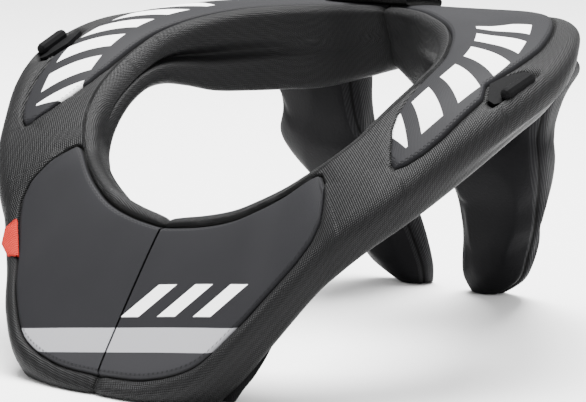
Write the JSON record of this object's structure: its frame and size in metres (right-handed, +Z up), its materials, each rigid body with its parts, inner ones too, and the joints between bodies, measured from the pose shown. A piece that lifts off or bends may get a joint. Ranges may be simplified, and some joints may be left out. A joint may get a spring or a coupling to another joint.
{
  "type": "motocross neck brace",
  "caption": "Padded foam neck brace for off-road motorcycling, a ring in two halves with chest part, shoulder wings and rear flaps",
  "frame": {"origin": "under the middle of the part's box, on the surface that it stands on", "axes": "+Z up, the wearer faces -Y, and the wearer's left is +X"},
  "size_m": [0.2816, 0.2932, 0.1574],
  "materials": {
    "collar": "black mesh",
    "chest_panel": "smooth dark grey",
    "shoulder_panel": "smooth dark grey",
    "back_flap": "smooth black",
    "shoulder_tab": "matte",
    "rear_lap": "smooth dark grey",
    "red_pull": "red webbing",
    "chest_strap": "black webbing"
  },
  "bodies": {
    "root": {"collar_left": "collar", "collar_right": "collar", "chest_panel_left": "chest_panel", "chest_panel_right": "chest_panel", "shoulder_panel_left": "shoulder_panel", "shoulder_panel_right": "shoulder_panel", "back_flap_left": "back_flap", "back_flap_right": "back_flap", "shoulder_tab_left": "shoulder_tab", "shoulder_tab_right": "shoulder_tab", "rear_lap": "rear_lap", "red_pull_right": "red_pull", "chest_strap_left": "chest_strap"}
  },
  "joints": []
}
